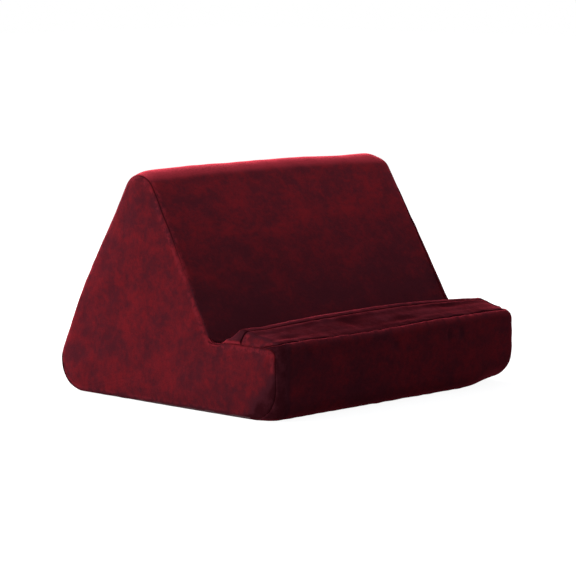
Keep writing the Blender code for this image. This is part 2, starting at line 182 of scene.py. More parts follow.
def section_corners(x):
    """Corners and radii at each x: the full section, drooping and sagging as the real one, mixed into the
    end's along the rounded edge by a power of a quarter sine."""
    full = np.repeat(table(FULL_CORNERS)[None], len(x), axis=0)
    apex, crest, rim, foot = (NAMES.index(name) for name in ("apex", "crest", "rim", "front_foot"))
    # The apex and the crest droop towards the ends, the crest is drawn back at the left one, the rim wavers,
    # and the foot is rounder at the right one.
    full[:, apex, 1] -= np.where(x < 0, APEX_DROOP_LEFT, APEX_DROOP_RIGHT) * (x / DROOP_AT) ** 2
    full[:, crest, 1] -= np.where(x < 0, CREST_DROOP_LEFT, CREST_DROOP_RIGHT) * (x / DROOP_AT) ** 2
    full[:, crest, 0] += 0.0080 * smooth((-x - 0.126) / 0.020)
    full[:, rim, 1] += along(x, [-0.148, -0.045, 0.06, 0.12, 0.148], [-0.001, -0.002, 0.0004, 0.0004, -0.001])
    full[:, foot, 2] += 0.010 * smooth((x - 0.085) / 0.05)
    end = np.where((x < 0)[:, None, None], table(LEFT_CORNERS)[None], table(RIGHT_CORNERS)[None])
    left = (x < 0)[:, None]
    inside = np.clip((STRIP_END - np.abs(x))[:, None] / np.where(left, LEFT_ROUNDS, RIGHT_ROUNDS), 0, 1)
    share = np.sin(np.pi / 2 * inside) ** np.where(left, LEFT_POWERS, RIGHT_POWER)
    return end + (full - end) * share[..., None]


class Section:
    """The rounded section at each x, as arcs in its corners and straights between them."""

    def __init__(self, x):
        corners = section_corners(x)
        self.at, radii = corners[..., :2], corners[..., 2]
        into = unit(self.at - np.roll(self.at, 1, axis=1))
        out = np.roll(into, -1, axis=1)
        turn = np.arccos(np.clip((into * out).sum(-1), -1, 1))
        reach = np.maximum(radii * np.tan(turn / 2), CORNER_EASE)[..., None]
        self.start, self.end = self.at - into * reach, self.at + out * reach
        self.weight = np.cos(turn / 2)
        self.at_end = smooth((np.abs(x) - 0.126) / 0.018)[:, None, None]

    def arc(self, name, first=0.0, last=1.0, count=60):
        """Rational quadratic curve in a corner, which is an arc of a circle."""
        k = NAMES.index(name)
        t = np.linspace(first, last, count)[None, :, None]
        a, b, c = (1 - t) ** 2, 2 * self.weight[:, k, None, None] * t * (1 - t), t * t
        start, at, end = (p[:, k, None] for p in (self.start, self.at, self.end))
        yz = (start * a + at * b + end * c) / (a + b + c)
        return np.concatenate([yz, np.zeros_like(yz[..., :1])], axis=-1)

    def straight(self, name, first=0.0, last=1.0, swell=0.0, count=90):
        """Straight after a corner, from one share of it to another, bowed out near the ends by a squared
        half sine, with a swell that is a parabola."""
        k = NAMES.index(name)
        low, high = self.end[:, k, None], self.start[:, (k + 1) % len(NAMES), None]
        way = unit(high - low)
        out = np.stack([way[..., 1], -way[..., 0]], axis=-1) * BOWS.get(name, 0.0) * self.at_end
        s = np.linspace(0, 1, count)[None]
        t = np.asarray(first).reshape(-1, 1) * (1 - s) + np.asarray(last).reshape(-1, 1) * s
        t = np.broadcast_to(t, (len(low), count))[..., None]
        crown = np.broadcast_to(swell * 4 * s * (1 - s), (len(low), count))[..., None]
        return np.concatenate([low + (high - low) * t + out * np.sin(np.pi * t**0.75) ** 2, crown], axis=-1)

    def rear_share(self, distance):
        """Share of the rear straight at a distance up it."""
        k = NAMES.index("rear_foot")
        return distance / np.linalg.norm(self.start[:, k + 1] - self.end[:, k], axis=-1)


def spread(length):
    """Distances across a cloth: close together at both edges, and even between them."""
    first, last = EDGE_STEPS[-1], length - EDGE_STEPS[-1]
    middle = np.linspace(first, last, max(2, round((last - first) / STEP)))
    return np.concatenate([EDGE_STEPS[:-1], middle, length - EDGE_STEPS[-2::-1]])


def run(points, axis):
    """Distance along one axis of a grid of points, from its first row or column."""
    steps = np.linalg.norm(np.diff(points, axis=axis), axis=-1)
    return np.concatenate([np.zeros_like(np.take(steps, [0], axis)), np.cumsum(steps, axis)], axis)


def respace(rows, closed=False):
    """The rows of points again, with their points spread as sewing needs, at the same shares of each row."""
    here = run(rows[..., :2], 1)
    total = here[:, -1:]
    if closed:
        shares = np.linspace(0, 1, round(total.mean() / STEP) + 1)[:-1]
    else:
        shares = spread(total.mean()) / total.mean()
    lift = np.arange(len(rows))[:, None] * (total.max() + 1)
    wanted = shares[None] * total + lift
    columns = [np.interp(wanted.ravel(), (here + lift).ravel(), rows[..., k].ravel()) for k in range(3)]
    return np.stack(columns, axis=-1).reshape(len(rows), len(shares), 3)


def normals_of(points):
    """Outward directions of a grid, from the cross product of its steps along each axis. Where the steps run
    nearly the same way, so that the product is small, its neighbours in the row take over."""
    product = np.cross(np.gradient(points, axis=1), np.gradient(points, axis=0))
    padded = np.pad(product, ((0, 0), (2, 2), (0, 0)), mode="edge")
    beside = padded[:, 1:-3] + padded[:, 3:-1] + padded[:, :-4] + padded[:, 4:]
    size, usual = (np.linalg.norm(v, axis=-1, keepdims=True) for v in (product, beside / 4))
    return unit(product + beside * smooth((0.30 * usual - size) / (0.15 * usual)))


def rolled(distance):
    """Depth of a turned edge at this distance from its seam: a quarter circle, and a wider soft tuck."""
    u = np.clip(1 - distance / ROLL, 0, 1)
    return ROLL * (1 - np.sqrt(1 - u**2)) + TUCK * np.exp(-distance / TUCK_REACH)


def edge_distances(points):
    """Distances of a grid's points from its four edges, along the cloth."""
    down, across = run(points, 0), run(points, 1)
    return [down, down[-1:] - down, across, across[:, -1:] - across]


def puckered(points, distances, size, seed):
    """Small gathers that run square to each seam and fade away from it."""
    ends = [points[:1], points[-1:], points[:, :1], points[:, -1:]]
    total = np.zeros(points.shape[:2])
    for k, (seam, distance) in enumerate(zip(ends, distances)):
        gather = waves(seam, 0.011, seed + k, 12)
        total += size[k] * gather * np.exp(-distance / PUCKER_REACH) * smooth(distance / 0.002)
    return total


def settled(p):
    """Points moved to where the stuffed cover has settled: its front right corner draws back a little and
    lifts off the floor, and both its ends are a little uneven."""
    x, y, z = p[..., 0], p[..., 1], p[..., 2]
    right = smooth((x - 0.085) / 0.075) ** 1.5
    front = smooth((-0.050 - y) / 0.085)
    low = 1 - smooth(z / 0.050)
    moved = p.copy()
    moved[..., 1] += 0.0010 * right * front
    moved[..., 2] += 0.0052 * right * front * low
    near_end = smooth((np.abs(x) - 0.120) / 0.028) * smooth((z - 0.002) / 0.010)
    flat = p * (0.3, 1, 1)
    moved[..., 1] += END_UNEVENNESS * near_end * waves(flat, 0.019, 90)
    moved[..., 2] += END_UNEVENNESS * near_end * waves(flat, 0.019, 91)
    return moved


def pile_and_painted_light(name, p):
    """Painted light at each point, from -1, a painted highlight, to 1, painted shade, with a little of the
    velvet's pile lying this way and that at random. There is painted highlight along the apex, on the lower
    lip of the fold at the groove's left end and towards the ledge's right end. There is painted shade growing
    down the backrest towards its foot, over the ledge, in its dimples, above that fold, on the end's toe and
    along its bottom edge."""
    x, y, z = p[..., 0], p[..., 1], p[..., 2]
    if name == "cover_backrest":
        height = z + np.where(x < 0, APEX_DROOP_LEFT, APEX_DROOP_RIGHT) * (x / DROOP_AT) ** 2
        # Painted shade growing down the backrest towards its foot, and a painted highlight along the apex.
        turn = np.where(y < 0.10, 0.55 * smooth((0.178 - z) / 0.130), 0)
        turn = turn - 0.9 * smooth((height - 0.1860) / 0.007)
    elif name.startswith("cover_end"):
        # Painted shade on the end's toe, where it turns under, a little more towards its front, and a painted
        # shadow along its bottom edge.
        toe = -0.767 * (y + 0.0979) - 0.6415 * (z - 0.0069)  # distance past a slanting line across the toe
        toe = toe + 0.0022 * waves(p, 0.012, 310)
        turn = 0.95 * smooth((toe + 0.010) / 0.019) + 0.06 * smooth((-0.04 - y) / 0.05)
        turn = turn + 0.5 * smooth((0.006 - z) / 0.004)
    elif name == "cover_ledge_front":
        # Painted shade over the ledge's front, deeper where it wraps round the left end and in its dimples,
        # fading towards the right end, where it becomes a painted highlight.
        turn = 0.20 + 0.78 * smooth((-x - 0.1365) / 0.009) - 0.12 * smooth((x - 0.10) / 0.05)
        turn = turn - 0.25 * smooth((x - 0.134) / 0.012) + 0.35 * dimpled(x, z, FRONT_DIMPLES)
    else:
        # Painted shade over the ledge's inner side and top, less at their left end and deeper in the top's
        # dimples; a painted shadow above the fold at the inner side's left end, and a painted highlight on
        # its lower lip.
        turn = {"cover_ledge_inner": 0.50, "cover_ledge_top": 0.85}.get(name, 0.1)
        turn = turn * (1 - 0.75 * smooth((-x - 0.1435) / 0.0035))
        if name == "cover_ledge_top":
            turn = turn + 0.45 * dimpled(x, y, TOP_DIMPLES)
        if name == "cover_ledge_inner":
            fold = smooth((-x - 0.1400) / 0.004)
            turn = turn + 0.5 * fold - 1.9 * fold * smooth((0.0635 - z) / 0.0025)
    # The random part is the pile's own lie; the rest is painted light.
    return np.clip(turn + 0.08 * waves(p, 0.050, 300) + 0.06 * waves(p, 0.017, 305), -1, 1)


def fill_mesh(name, points, quads, material, seam=None):
    """Object from points and four-cornered faces; a face with a repeated corner is a triangle. Seam, where
    given, is each point's distance from its nearest seam."""
    mesh = bpy.data.meshes.new(name)
    triangles = quads[:, 2] == quads[:, 3]
    faces = np.concatenate([quads[~triangles].ravel(), quads[triangles, :3].ravel()])
    sizes = np.concatenate([np.full((~triangles).sum(), 4), np.full(triangles.sum(), 3)])
    mesh.vertices.add(len(points))
    mesh.vertices.foreach_set("co", np.ascontiguousarray(points, np.float32).ravel())
    mesh.loops.add(len(faces))
    mesh.loops.foreach_set("vertex_index", faces.astype(np.int32))
    mesh.polygons.add(len(sizes))
    mesh.polygons.foreach_set("loop_start", (np.cumsum(sizes) - sizes).astype(np.int32))
    mesh.update(calc_edges=True)
    mesh.validate()
    mesh.shade_smooth()
    mesh.materials.append(material)
    if seam is not None:
        attribute = mesh.attributes.new("seam_distance", "FLOAT", "POINT")
        attribute.data.foreach_set("value", np.ascontiguousarray(seam, np.float32))
        # Painted shade and painted highlight for the velvet's colour, with the pile's random lie, kept on
        # each point.
        attribute = mesh.attributes.new("pile_and_painted_light", "FLOAT", "POINT")
        attribute.data.foreach_set("value", np.ascontiguousarray(pile_and_painted_light(name, points), np.float32))
    piece = bpy.data.objects.new(name, mesh)
    bpy.context.scene.collection.objects.link(piece)
    return piece


def grid_faces(rows, columns, closed, offset=0):
    """Faces between neighbouring rows and columns of a grid, turned to the outside."""
    index = np.arange(rows * columns).reshape(rows, columns) + offset
    if closed:
        index = np.concatenate([index, index[:, :1]], axis=1)
    corners = index[:-1, :-1], index[:-1, 1:], index[1:, 1:], index[1:, :-1]
    return np.stack([c.ravel() for c in corners], axis=1)


def capped_faces(rows, columns):
    """Faces of a closed tube of rings, with a fan at each end round a middle point; the two middle points
    follow the rings' points."""
    index, last = np.arange(columns), np.arange(columns) + (rows - 1) * columns
    low, high = np.full(columns, rows * columns), np.full(columns, rows * columns + 1)
    quads = [
        grid_faces(rows, columns, True),
        np.stack([np.roll(index, -1), index, low, low], axis=1),
        np.stack([last, np.roll(last, -1), high, high], axis=1),
    ]
    return np.concatenate(quads)


def joined_rims(outer, inner):
    """Faces between two closed rings of points."""
    return np.stack([outer, inner, np.roll(inner, -1), np.roll(outer, -1)], axis=1)


def add_cloth(name, outer, inner, seam, material):
    """Closed cloth from its outer and inner grids, joined round their four edges."""
    rows, columns = outer.shape[:2]
    count = rows * columns
    index = np.arange(count).reshape(rows, columns)
    ring = np.concatenate([index[0, :-1], index[:-1, -1], index[-1, :0:-1], index[:0:-1, 0]])
    quads = [
        grid_faces(rows, columns, False),
        grid_faces(rows, columns, False, count)[:, ::-1],
        joined_rims(ring, ring + count),
    ]
    points = np.concatenate([outer.reshape(-1, 3), inner.reshape(-1, 3)])
    return fill_mesh(name, points, np.concatenate(quads), material, np.tile(seam.ravel(), 2))


def add_disc(name, outer, inner, seam, material):
    """Closed panel from two grids of rings, each ending in a pole, joined round their first rings."""
    rows, columns = outer.shape[:2]
    count = rows * columns
    last = np.arange(count - columns, count)
    poles = 2 * count, 2 * count + 1
    fan = np.stack([last, np.roll(last, -1), np.full(columns, poles[0]), np.full(columns, poles[0])], axis=1)
    back = np.stack([np.roll(last, -1), last, np.full(columns, poles[1] - count)], axis=1) + count
    ring = np.arange(columns)
    quads = [
        grid_faces(rows, columns, True),
        grid_faces(rows, columns, True, count)[:, ::-1],
        joined_rims(ring, ring + count),
        fan,
        np.concatenate([back, back[:, 2:]], axis=1),
    ]
    centres = [grid[-1].mean(axis=0, keepdims=True) for grid in (outer, inner)]
    points = np.concatenate([outer.reshape(-1, 3), inner.reshape(-1, 3), *centres])
    seam = np.concatenate([np.tile(seam.ravel(), 2), [seam.max()] * 2])
    return fill_mesh(name, points, np.concatenate(quads), material, seam)


def cloth_grid(x, parts):
    """Grid of a cloth before sewing: its section's parts in a row at each x, and its swell."""
    rows = respace(np.concatenate(parts, axis=1))
    grid = np.concatenate([np.broadcast_to(x[:, None, None], rows.shape[:2] + (1,)), rows[..., :2]], axis=-1)
    return grid, rows[..., 2]


def lipped(distance, gather):
    """Soft ridge that runs beside a seam, uneven with its gathers."""
    return LIP * (1 + 0.6 * gather) * np.exp(-(((distance - LIP_PLACE) / LIP_WIDTH) ** 2))


def painted_seam_shade(p):
    """How strongly the painted dark line of shade shows along the end seams at a point: strong round the
    front of the apex and the front of the ledge, where the seams gape open, and faint where they are pressed
    shut lower down the backrest, behind and underneath."""
    y, z = p[..., 1], p[..., 2]
    apex = smooth((z - 0.100) / 0.060) * smooth((0.048 - y) / 0.020)
    toe = smooth((-0.112 - y) / 0.012) * smooth((z - 0.020) / 0.020)
    uneven = 0.12 * waves(p, 0.035, 80)
    return np.clip(0.30 + 0.70 * np.maximum(apex, 0.75 * toe) + uneven, 0.1, 1)


def inner_height(height, distance):
    """Height of a cloth's inner surface, from its outer height and its distance from its seam."""
    return np.minimum(height, 0) - ROLL - CLOTH - TUCK * np.exp(-distance / TUCK_REACH)


def sew(grid, swell, pucker, seed, extra=None):
    """Outer and inner surfaces of a cloth and its distance from the nearest seam: swollen between its
    seams, rolled down at its edges, with gathers along them and slow unevenness all over."""
    outward = normals_of(grid)
    distances = edge_distances(grid)
    near = np.minimum.reduce(distances)
    ends = 1 - (grid[..., 0] / STRIP_END) ** 4
    lift = swell * ends + puckered(grid, distances, pucker, seed) + lipped(near, waves(grid, 0.016, seed + 9))
    slow = 0.0005 * waves(grid, 0.07, seed + 10) + 0.00015 * waves(grid, 0.02, seed + 11)
    lift = lift + smooth(near / SLOW_REACH) * slow
    if extra is not None:
        lift = lift + extra(grid, distances) * smooth(near / 0.003)
    outer = grid + outward * (lift - rolled(near + SEAM_HALF_GAP))[..., None]
    inner = grid + outward * inner_height(lift, near)[..., None]
    to_end = np.minimum(distances[0], distances[1])
    # Where a seam is pressed shut, its distance grows, which hides its painted dark line of shade.
    shut = (1 - painted_seam_shade(grid)) * SEAM_SHUT * (to_end <= near + 0.0005)
    return settled(outer), settled(inner), near + shut


def crease(grid, distance, place, width, height, seed):
    """Ridge along X at a wandering distance from a seam, that comes and goes along its length."""
    along_x = grid * (1, 0, 0)
    wander = 0.0010 * waves(along_x, 0.11, seed, 8)
    share = 0.60 + 0.40 * waves(along_x, 0.055, seed + 1, 8)
    return height * share * np.exp(-(((distance - place - wander) / width) ** 2))


def crest_crease(grid, distances):
    """Soft fold behind the crest seam, and a fat one where the cloth bunches over the left end."""
    bunch = smooth((-0.064 - grid[..., 1]) / 0.008) * np.exp(-(((distances[0] - 0.0030) / 0.0016) ** 2))
    return crease(grid, distances[3], 0.0050, 0.0015, 0.0004, 200) + 0.0011 * bunch


def dimpled(across, up, dimples):
    """How far down in one of these dimples a point is, from 0 to 1, by its two places on the cloth."""
    return sum(np.exp(-(((across - a) / wide) ** 2) - ((up - b) / tall) ** 2) for a, b, wide, tall in dimples)


def ledge_creases(grid, distances):
    """Folds in the ledge's top cloth: a crisp one before the crest seam, and a slack one behind the rim."""
    front = crease(grid, distances[2], 0.0052, 0.0011, 0.0009, 210)
    rear = crease(grid, distances[3], 0.0060, 0.0016, 0.0006, 220)
    slack = 0.0006 * smooth((distances[2] - 0.004) / 0.006) * smooth((distances[3] - 0.003) / 0.006)
    return front + rear - slack - DIMPLE_DEPTH * dimpled(grid[..., 0], grid[..., 1], TOP_DIMPLES)


def rim_crease(grid, distances):
    """Rolled ridge in front of the rim seam, and dimples below it."""
    dimples = DIMPLE_DEPTH * dimpled(grid[..., 0], grid[..., 2], FRONT_DIMPLES)
    return crease(grid, distances[2], 0.0030, 0.0016, 0.0005, 230) - dimples


def line_at(grid, distance):
    """Point of each row of a grid at a distance along it from its first column."""
    far = np.cumsum(np.linalg.norm(np.diff(grid, axis=1), axis=-1), axis=1)
    rows, k = np.arange(len(grid)), (far < distance).sum(axis=1)
    t = (far[rows, k] - distance) / (far[rows, k] - np.where(k > 0, far[rows, k - 1], 0))
    return grid[rows, k + 1] + (grid[rows, k] - grid[rows, k + 1]) * t[:, None]


def stations():
    """Places along X of a cloth's rows: by turns of a quarter circle round both ends, and even between."""
    turned = STRIP_END - EDGE_ROUND + EDGE_ROUND * np.cos(EDGE_TURNS)
    middle = np.linspace(-turned[-1], turned[-1], round(2 * turned[-1] / STEP))
    return np.concatenate([-turned[:-1], middle, turned[-2::-1]])


def zip_half_gap(x):
    """Half the width of the zip's opening, which closes to a seam beyond its ends."""
    return ZIP_HALF_OPENING * (1 - smooth((np.abs(x) - ZIP_END) / ZIP_TAPER))


def cover_cloths():
    """The cloths that run across the stand, in order from the rear foot, as grids with their swell."""
    x = stations()
    section = Section(x)
    gap = zip_half_gap(x)
    below, above = section.rear_share(ZIP_UP - gap), section.rear_share(ZIP_UP + gap)
    parts = {
        "rear_lower": [section.arc("rear_foot"), section.straight("rear_foot", 0, below)],
        "backrest": [
            section.straight("rear_foot", above, 1, 0.0008),
            section.arc("apex"),
            section.straight("apex", 0, 1, 0.0012),
        ],
        "ledge_inner": [
            section.arc("groove"),
            section.straight("groove"),
            section.arc("crest"),
            section.straight("crest", 0, 0.10),
        ],
        "ledge_top": [section.straight("crest", 0.10, 1, 0.0006), section.arc("rim", 0, 0.5)],
        "ledge_front": [
            section.arc("rim", 0.5, 1),
            section.straight("rim"),
            section.arc("front_top"),
            section.straight("front_top", 0, 1, 0.0006),
            section.arc("front_foot"),
        ],
        "base": [section.straight("front_foot")],
    }
    return {name: cloth_grid(x, rows) for name, rows in parts.items()}


def end_panel(side):
    """Outer and inner surfaces of an end panel and its distance from its seam: rings that step in from the
    seam, then close on a centre, swollen and gathered. Side is 1 for the right end and -1 for the left."""
    section = Section(np.array([side * STRIP_END]))
    parts = [piece for name in NAMES for piece in (section.arc(name), section.straight(name))]
    outline = respace(np.concatenate(parts, axis=1), closed=True)[0, :, :2]
    way = unit(np.roll(outline, -1, axis=0) - np.roll(outline, 1, axis=0))
    outward = np.stack([way[:, 1], -way[:, 0]], axis=-1)
    rings = outline[None] - outward[None] * EDGE_STEPS[:, None, None]
    shares = np.linspace(0, 1, INNER_RINGS + 2)[1:-1, None, None]
    inside = rings[-1] + (np.array(END_CENTRE) - rings[-1]) * shares
    yz = np.concatenate([rings, inside])
    distance = np.stack([np.linalg.norm(ring[:, None] - outline[None], axis=-1).min(axis=1) for ring in yz])
    flat = np.concatenate([np.zeros_like(yz[..., :1]), yz], axis=-1)
    seam = np.concatenate([np.zeros_like(outline[:, :1]), outline], axis=-1)
    gather = waves(seam, 0.012, 40 + side, 12) * np.exp(-distance / PUCKER_REACH) * smooth(distance / 0.002)
    slow = 0.0006 * waves(flat, 0.08, 50 + side) + 0.0002 * waves(flat, 0.022, 60 + side)
    slow = smooth(distance / SLOW_REACH) * slow
    height = END_SWELL * (1 - np.exp(-distance / END_SWELL_REACH)) + 0.0003 * gather + slow
    height = height + lipped(distance, waves(flat, 0.016, 70 + side))
    surfaces = []
    for x in (height - rolled(distance), inner_height(height, distance)):
        grid = np.concatenate([(side * (STRIP_END + x))[..., None], yz], axis=-1)
        surfaces.append(settled(grid[:, ::side]))
    # The distance grows where the seam is pressed shut, which hides its painted dark line of shade.
    return *surfaces, (distance + (1 - painted_seam_shade(flat)) * SEAM_SHUT)[:, ::side]


class Socket:
    """A shader node's socket, with arithmetic that adds Math nodes."""

    def __init__(self, finish, link):
        self.finish, self.link = finish, link

    def math(self, operation, first, second):
        """Socket of a new Math node over two values."""
        return self.finish.node("ShaderNodeMath", {"operation": operation}, {0: first, 1: second})

    def __add__(self, other):
        return self.math("ADD", self, other)

    def __sub__(self, other):
        return self.math("SUBTRACT", self, other)

    def __rsub__(self, other):
        return self.math("SUBTRACT", other, self)

    def __mul__(self, other):
        return self.math("MULTIPLY", self, other)

    def __truediv__(self, other):
        return self.math("DIVIDE", self, other)

    def __rtruediv__(self, other):
        return self.math("DIVIDE", other, self)

    def __pow__(self, other):
        return self.math("POWER", self, other)

    __radd__ = __add__
    __rmul__ = __mul__


class Finish:
    """A material in the making."""

    def __init__(self, name):
        self.material = bpy.data.materials.new(name)
        self.material.use_nodes = True
        self.tree = self.material.node_tree
        self.tree.nodes.clear()
        self.place = self.node("ShaderNodeTexCoord", output="Object")

    def node(self, kind, settings=None, sockets=None, output=0):
        """New node, with its settings made before its sockets."""
        made = self.tree.nodes.new(kind)
        for name, value in (settings or {}).items():
            setattr(made, name, value)
        for name, value in (sockets or {}).items():
            if isinstance(value, Socket):
                self.tree.links.new(value.link, made.inputs[name])
            else:
                made.inputs[name].default_value = value
        return Socket(self, made.outputs[output])

    def noise(self, scale, detail=2.0, roughness=0.5, stretch=None):
        """Noise at a scale per metre, drawn out along the axes by stretch."""
        place = self.place
        if stretch is not None:
            place = self.node("ShaderNodeMapping", None, {"Vector": place, "Scale": stretch})
        sockets = {"Vector": place, "Scale": scale, "Detail": detail, "Roughness": roughness}
        return self.node("ShaderNodeTexNoise", None, sockets)

    def between(self, low, high, value):
        """0 where value is low, 1 where it is high, eased between."""
        settings = {"interpolation_type": "SMOOTHSTEP"}
        return self.node("ShaderNodeMapRange", settings, {"Value": value, "From Min": low, "From Max": high})

    def mix(self, first, second, share):
        """Colour between two, by share."""
        return self.node("ShaderNodeMix", {"data_type": "RGBA"}, {0: share, 6: first, 7: second}, 2)

    def bump(self, height, strength, distance):
        """Normal of a surface raised by height times distance."""
        sockets = {"Height": height, "Strength": strength, "Distance": distance}
        return self.node("ShaderNodeBump", None, sockets)

    def principled(self, **sockets):
        """The material, from a Principled shader with these sockets, named with underscores for spaces."""
        named = {name.replace("_", " "): value for name, value in sockets.items()}
        shader = self.node("ShaderNodeBsdfPrincipled", None, named)
        return self.done(shader)

    def done(self, shader):
        """The material, with this shader as its surface."""
        output = self.tree.nodes.new("ShaderNodeOutputMaterial")
        self.tree.links.new(shader.link, output.inputs["Surface"])
        return self.material


def velvet(name, sheen):
    """Crushed velvet: pile that lies this way and that in soft clouds, darkened with painted shade and paled
    with a painted highlight where its point attribute says so, with a fine nap, a red sheen, a painted dark
    line of shade where it turns in at a seam and a painted highlight beside it."""
    finish = Finish(name)
    cloud = finish.noise(58, 4.0, 0.66, (0.62, 1, 1))
    patch = finish.noise(17, 2.0, 0.5, (0.7, 1, 1))
    crush = finish.noise(210, 3.0, 0.6)
    nap = finish.noise(1400, 2.0, 0.5)
    lie = finish.between(0.37, 0.66, cloud * 0.54 + patch * 0.18 + crush * 0.28)
    colour = finish.mix(VELVET_DARK, VELVET_LIGHT, lie)
    # Above 0 the attribute mixes in painted shade colours, and below 0 a painted highlight.
    turn = finish.node("ShaderNodeAttribute", {"attribute_name": "pile_and_painted_light"}, None, "Fac")
    turned = turn * (1.15 - lie * 0.4)
    colour = finish.mix(colour, VELVET_PAINTED_SHADE, finish.between(0, 0.6, turned))
    colour = finish.mix(colour, VELVET_NAP_AND_PAINTED_SHADE, finish.between(0.6, 1, turned) * 0.7)
    colour = finish.mix(colour, VELVET_PAINTED_HIGHLIGHT, finish.between(0, -1, turn))
    colour = finish.mix(colour, VELVET_NAP_AND_PAINTED_SHADE, finish.between(0.50, 0.80, nap) * 0.35)
    seam = finish.node("ShaderNodeAttribute", {"attribute_name": "seam_distance"}, None, "Fac")
    # Painted highlight: a paler line on the ridge beside a seam, patchy with the crush, fading where painted
    # shade is strong.
    beside = finish.between(0.0008, 0.0028, seam) * finish.between(0.0070, 0.0034, seam)
    beside = beside * finish.between(0.7, 0.2, turn)
    colour = finish.mix(colour, VELVET_PAINTED_HIGHLIGHT, beside * finish.between(0.40, 0.62, crush) * 0.35)
    # Painted shade: a dark line where the velvet turns in at a seam.
    colour = finish.mix(colour, VELVET_NAP_AND_PAINTED_SHADE, finish.between(0.0013, 0.0005, seam) * 0.9)
    height = nap * 0.2 + crush * 0.35 + cloud * 0.9
    return finish.principled(
        Base_Color=colour,
        Roughness=finish.between(0.2, 0.8, crush) * 0.15 + 0.80,
        Normal=finish.bump(height, 0.5, 0.0012),
        Specular_IOR_Level=0.0,
        Sheen_Weight=sheen,
        Sheen_Roughness=0.36,
        Sheen_Tint=(1.0, 0.09, 0.13, 1),
    )


def weave(finish, pitch):
    """Height of a plain weave, over and under: a product of sines along three axes at this pitch."""
    sockets = {0: finish.place, "Scale": 2 * math.pi / pitch}
    wave = finish.node("ShaderNodeVectorMath", {"operation": "SCALE"}, sockets)
    split = finish.node("ShaderNodeSeparateXYZ", None, {0: wave}).link.node
    x, y, z = (Socket(finish, split.outputs[k]) for k in range(3))
    return x.math("SINE", x, 0.0) * y.math("SINE", y + z, 0.0)


def woven(name, light, dark, pitch, roughness):
    """Plain woven cloth, with its threads' relief and slow unevenness."""
    finish = Finish(name)
    threads = weave(finish, pitch) * 0.5 + 0.5
    slow = finish.noise(45, 3.0, 0.6)
    colour = finish.mix(dark, light, finish.between(0.1, 0.9, threads * 0.6 + slow * 0.4))
    return finish.principled(
        Base_Color=colour,
        Roughness=finish.between(0.2, 0.8, slow) * 0.1 + roughness,
        Normal=finish.bump(threads * 0.7 + slow * 0.3, 0.5, pitch * 0.3),
        Specular_IOR_Level=0.3,
        Sheen_Weight=0.15,
    )


def open_foam():
    """Open-cell foam: pale, with painted shade in its pores, and yellower here and there."""
    finish = Finish("open_cell_foam")
    cells = finish.node("ShaderNodeTexVoronoi", None, {"Vector": finish.place, "Scale": 900.0})
    age = finish.noise(12, 2.0, 0.5)
    colour = finish.mix((0.80, 0.74, 0.55, 1), (0.88, 0.85, 0.72, 1), age)
    # Painted shade in the pores.
    colour = finish.mix((0.45, 0.38, 0.24, 1), colour, finish.between(0.05, 0.35, cells))
    return finish.principled(Base_Color=colour, Roughness=0.9, Normal=finish.bump(cells, 0.6, 0.0006))


def nickel():
    """Black nickel plate: satin, with fine wear on it."""
    finish = Finish("nickel_plate")
    wear = finish.noise(900, 4.0, 0.6)
    haze = finish.noise(160, 2.0, 0.5)
    colour = finish.mix((0.085, 0.083, 0.082, 1), (0.140, 0.136, 0.133, 1), haze)
    return finish.principled(
        Base_Color=colour,
        Metallic=1.0,
        Roughness=finish.between(0.3, 0.75, wear * 0.6 + haze * 0.4) * 0.20 + 0.40,
        Normal=finish.bump(wear, 0.2, 0.0001),
    )


def nylon(name, colour, shade):
    """Nylon thread and coil: even, with a soft gloss."""
    finish = Finish(name)
    fibre = finish.noise(1300, 3.0, 0.6)
    mixed = finish.mix(shade, colour, finish.between(0.3, 0.7, fibre))
    return finish.principled(Base_Color=mixed, Roughness=0.45, Normal=finish.bump(fibre, 0.3, 0.0001))


VELVET_DARK = (0.068, 0.0102, 0.0156, 1)
VELVET_LIGHT = (0.154, 0.0106, 0.0150, 1)
# The pale colour is a painted highlight, the turned colour is painted shade, and the deep colour is painted
# deep shade that also darkens the fine nap.
VELVET_PAINTED_HIGHLIGHT = (0.260, 0.0220, 0.0320, 1)
VELVET_NAP_AND_PAINTED_SHADE = (0.018, 0.0020, 0.0035, 1)
VELVET_PAINTED_SHADE = (0.056, 0.0100, 0.0152, 1)
VELVET = velvet("crushed_velvet", 0.60)
VELVET_PRESSED = velvet("crushed_velvet_pressed", 0.38)
BASE_CLOTH = woven("woven_base_cloth", (0.060, 0.009, 0.013, 1), (0.030, 0.005, 0.008, 1), 0.0011, 0.85)
LINING = woven("woven_lining", (0.20, 0.032, 0.042, 1), (0.12, 0.018, 0.026, 1), 0.0009, 0.8)
TAPE = woven("zip_tape", (0.105, 0.011, 0.017, 1), (0.050, 0.006, 0.010, 1), 0.0007, 0.8)
FOAM = open_foam()
NICKEL = nickel()
COIL = nylon("nylon_coil", (0.085, 0.009, 0.014, 1), (0.045, 0.005, 0.009, 1))
THREAD = nylon("sewing_thread", (0.110, 0.012, 0.018, 1), (0.060, 0.007, 0.011, 1))

